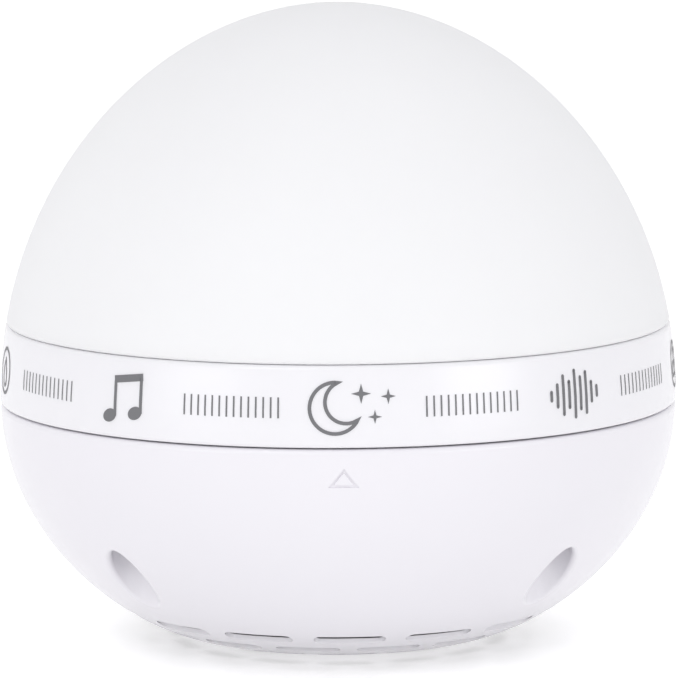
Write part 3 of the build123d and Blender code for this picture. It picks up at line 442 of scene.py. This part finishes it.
def plus():
    """Small upright cross."""
    return cross(MARK_SIZE, MARK_LINE)


def clock():
    """Ring with two hands."""
    hands = [(0, MARK_SIZE / 3), (0, 0), (MARK_SIZE / 4, 0)]
    return circle(MARK_SIZE / 2, MARK_LINE, 32) + stroke(hands, MARK_LINE)


def sun():
    """Small disc with eight rays."""
    near, far = 0.38 * MARK_SIZE, 0.58 * MARK_SIZE
    marks = disc((0, 0), MARK_SIZE / 2)
    for i in range(8):
        marks += stroke([polar((0, 0), reach, 45 * i) for reach in (near, far)], MARK_LINE)
    return marks


def surface_of(node):
    """Search tree of a node's surface."""
    mesh = nodes[node].data
    points = [v.co.copy() for v in mesh.vertices]
    return BVHTree.FromPolygons(points, [tuple(p.vertices) for p in mesh.polygons])


def round_axis(azimuth, height):
    """Rays towards the axis, for marks at an angle from the front and a height."""
    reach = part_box("selector_ring")[1].x

    def ray(x, y):
        turn = math.radians(azimuth) + x * MM / reach
        outward = Vector((math.sin(turn), -math.cos(turn), 0))
        return outward * OUTSIDE * reach + Vector((0, 0, height + y * MM)), -outward

    return ray


def square_on(start, outward):
    """Rays straight back at a face, for marks that lie flat on it."""
    right = Vector((-outward.y, outward.x, 0)) if outward.xy.length else Vector((1, 0, 0))
    upward = outward.cross(right)
    return lambda x, y: (start + (right * x + upward * y) * MM, -outward)


def lay(marks, tree, ray):
    """Lay flat marks on a surface, along the ray that each of their points gives."""
    laid = []
    for mark in marks:
        face = []
        for x, y in mark:
            hit, normal, _, _ = tree.ray_cast(*ray(x, y))
            face.append(hit + normal * PRINT_LIFT)
        laid.append(face)
    return laid


def piece(name, faces, material, body):
    """Mesh of faces, joined where they share points, that rides on a body."""
    points, indices = [], []
    for face in faces:
        indices.append(list(range(len(points), len(points) + len(face))))
        points += face
    mesh = bpy.data.meshes.new(name)
    mesh.from_pydata(points, [], indices)
    joined = bmesh.new()
    joined.from_mesh(mesh)
    bmesh.ops.remove_doubles(joined, verts=joined.verts, dist=SAME_POINT)
    joined.to_mesh(mesh)
    joined.free()
    mesh.materials.append(material)
    shape = bpy.data.objects.new(name, mesh)
    bpy.context.scene.collection.objects.link(shape)
    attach(shape, body)


def add_ring_print():
    """Icons round the ring, with a tick scale after each."""
    icons = (moon, bars, fan, cloud, waves, leaf, heart, drop, notes)
    pitch = 360 / len(icons)
    tree = surface_of("selector_ring")
    icon_faces, tick_faces = [], []
    for index, icon in enumerate(icons):
        azimuth = PRINT_TURN + index * pitch
        icon_faces += lay(icon(), tree, round_axis(azimuth, PRINT_HEIGHT))
        tick_faces += lay(ticks(), tree, round_axis(azimuth + pitch / 2, PRINT_HEIGHT))
    piece("ring_icons", icon_faces, ink, "selector")
    piece("ring_ticks", tick_faces, ink, "selector")


def add_button_marks():
    """Each button's mark, which lies on its crown and is pressed in with it."""
    marks = {
        "volume_down_press": minus,
        "volume_up_press": plus,
        "timer_press": clock,
        "light_press": sun,
    }
    for joint in frame["record"]["behaviour"]["joints"]:
        if joint["name"] in marks:
            button = joint["name"].replace("_press", "_button")
            low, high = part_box(button)
            outward = -Vector(joint["axis"])
            start = outward * high.y * OUTSIDE + Vector((0, 0, (low.z + high.z) / 2))
            faces = lay(marks[joint["name"]](), surface_of(button), square_on(start, outward))
            piece(button + "_mark", faces, ink, joint["child"])


def add_screw_recess_shade():
    """Dark crosses laid on the heads of the screws at the tops of the wells: painted shade where their
    cross recesses are.
    """
    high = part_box("base_screws")[1]
    tree = surface_of("base_screws")
    faces = []
    for side in (-1, 1):
        for end in (-1, 1):
            below = Vector((side * (high.x - SCREW_HEAD / 2), end * (high.y - SCREW_HEAD / 2), -high.z))
            faces += lay(cross(CROSS_SIZE, CROSS_LINE), tree, square_on(below, Vector((0, 0, -1))))
    # Painted shade: each cross is a near-black sheet for the shadow inside a screw's recess
    piece("screw_recess_shade", faces, dark_moulding_and_painted_shade, "base")


def slab(size, corner):
    """Outline of a rectangle with rounded corners."""
    across, up = (length / 2 - corner for length in size)
    outline = []
    for i, centre in enumerate(((across, up), (-across, up), (-across, -up), (across, -up))):
        outline += arc(centre, corner, 90 * i, 90 * i + 90, 5)
    return outline


def add_tongue():
    """Moulding over the power socket's tongue, from the bottom of the socket to just past its tip."""
    low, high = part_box("usb_socket")
    middle = (low.z + high.z) / 2
    tree = surface_of("usb_socket")

    def depth_at(height):
        """How far back the socket is met along a level line through its mouth."""
        hit, _, _, _ = tree.ray_cast(Vector((0, OUTSIDE * high.y, height)), Vector((0, -1, 0)))
        return hit.y

    bottom = depth_at(middle + TONGUE_CLEAR)
    tip = depth_at(middle) + PRINT_LIFT
    outline = slab(TONGUE_SIZE, TONGUE_ROUND)
    back, front = (
        [Vector((x * MM, depth, middle + z * MM)) for x, z in outline] for depth in (bottom, tip)
    )
    faces = [back, front[::-1]]
    for i in range(len(outline)):
        faces.append([back[i - 1], front[i - 1], front[i], back[i]])
    piece("socket_tongue", faces, dark_moulding_and_painted_shade, "base")
    add_contacts(middle, bottom + CONTACT_MARGIN, tip - CONTACT_MARGIN)


def add_contacts(middle, near, far):
    """Row of contacts on the upper and the lower side of the tongue."""
    faces = []
    for side in (-1, 1):
        level = middle + side * (TONGUE_SIZE[1] / 2 * MM + PRINT_LIFT)
        for i in range(CONTACT_COUNT):
            x = (i - (CONTACT_COUNT - 1) / 2) * CONTACT_PITCH
            left, right = ((x + end * CONTACT_WIDTH / 2) * MM for end in (-1, 1))
            corners = [(left, near), (right, near), (right, far), (left, far)]
            faces.append([Vector((across, along, level)) for across, along in corners[::side]])
    piece("socket_contacts", faces, contact_gold, "base")


def add_lamp(name, place, target, size, power):
    """Square soft lamp that faces a point."""
    data = bpy.data.lights.new(name, "AREA")
    data.energy = power
    data.size = size
    lamp = bpy.data.objects.new(name, data)
    lamp.location = place
    lamp.rotation_euler = (Vector(target) - Vector(place)).to_track_quat("-Z", "Y").to_euler()
    bpy.context.scene.collection.objects.link(lamp)


def seen_rays(tree):
    """Socket that is 1 for what the camera sees, straight, mirrored or through glass."""
    rays = tree.nodes.new("ShaderNodeLightPath")
    seen = rays.outputs["Is Camera Ray"]
    for kind in ("Is Glossy Ray", "Is Transmission Ray"):
        either = tree.nodes.new("ShaderNodeMath")
        either.operation = "MAXIMUM"
        tree.links.new(seen, either.inputs[0])
        tree.links.new(rays.outputs[kind], either.inputs[1])
        seen = either.outputs["Value"]
    return seen


def add_world():
    """White studio: pure white behind the object, and a softer white that lights it."""
    world = bpy.data.worlds.new("studio")
    bpy.context.scene.world = world
    world.use_nodes = True
    tree = world.node_tree
    tree.nodes.clear()
    out = tree.nodes.new("ShaderNodeOutputWorld")
    mix = tree.nodes.new("ShaderNodeMixShader")
    lit = tree.nodes.new("ShaderNodeBackground")
    seen = tree.nodes.new("ShaderNodeBackground")
    socket(lit, "Color", (*WORLD_COLOUR, 1))
    socket(lit, "Strength", WORLD_LIGHT)
    socket(seen, "Color", (1, 1, 1, 1))
    socket(seen, "Strength", 1.0)
    tree.links.new(seen_rays(tree), mix.inputs["Fac"])
    tree.links.new(lit.outputs["Background"], mix.inputs[1])
    tree.links.new(seen.outputs["Background"], mix.inputs[2])
    tree.links.new(mix.outputs["Shader"], out.inputs["Surface"])


def add_floor():
    """Pale floor under the feet, which glows a little and more so where the camera sees it."""
    half = FLOOR_SIZE / 2
    mesh = bpy.data.meshes.new("floor")
    corners = [(-half, -half, 0), (half, -half, 0), (half, half, 0), (-half, half, 0)]
    mesh.from_pydata(corners, [], [(0, 1, 2, 3)])
    material = plastic(
        "floor_white", FLOOR_COLOUR, FLOOR_ROUGHNESS, FLOOR_GRAIN,
        bump=0.0, speckle=0.0, specular=FLOOR_SPECULAR,
    )
    tree = material.node_tree
    shader = tree.nodes["Principled BSDF"]
    socket(shader, "Emission Color", (1, 1, 1, 1))
    glow = tree.nodes.new("ShaderNodeMapRange")
    socket(glow, "To Min", FLOOR_GLOW)
    socket(glow, "To Max", FLOOR_GLOW_SEEN)
    tree.links.new(seen_rays(tree), glow.inputs["Value"])
    tree.links.new(glow.outputs["Result"], shader.inputs["Emission Strength"])
    mesh.materials.append(material)
    floor = bpy.data.objects.new("floor", mesh)
    bpy.context.scene.collection.objects.link(floor)


def add_camera():
    """Camera at the photograph's place, aimed so that the object fills the frame."""
    data = bpy.data.cameras.new("camera")
    data.lens = CAMERA_LENS
    data.sensor_width = CAMERA_SENSOR
    camera = bpy.data.objects.new("camera", data)
    turn, rise = math.radians(CAMERA_AZIMUTH), math.radians(CAMERA_ELEVATION)
    flat = CAMERA_DISTANCE * math.cos(rise)
    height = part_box("base_housing")[0].z + CAMERA_DISTANCE * math.sin(rise)
    camera.location = (flat * math.sin(turn), -flat * math.cos(turn), height)
    pitch = math.radians(CAMERA_PITCH)
    heading = turn - math.radians(CAMERA_YAW)
    aim = Vector((-math.sin(heading), math.cos(heading), -math.tan(pitch)))
    look = aim.to_track_quat("-Z", "Y").to_matrix()
    camera.rotation_euler = (look @ Matrix.Rotation(math.radians(CAMERA_ROLL), 3, "Z")).to_euler()
    bpy.context.scene.collection.objects.link(camera)
    bpy.context.scene.camera = camera


add_ring_print()
add_button_marks()
add_screw_recess_shade()
add_tongue()

add_world()
add_floor()
add_lamp("key", KEY_PLACE, KEY_TARGET, KEY_SIZE, KEY_POWER)
add_lamp("left", LEFT_PLACE, SIDE_TARGET, SIDE_SIZE, LEFT_POWER)
add_lamp("right", RIGHT_PLACE, SIDE_TARGET, SIDE_SIZE, RIGHT_POWER)
add_camera()
bpy.context.scene.view_settings.view_transform = "Standard"
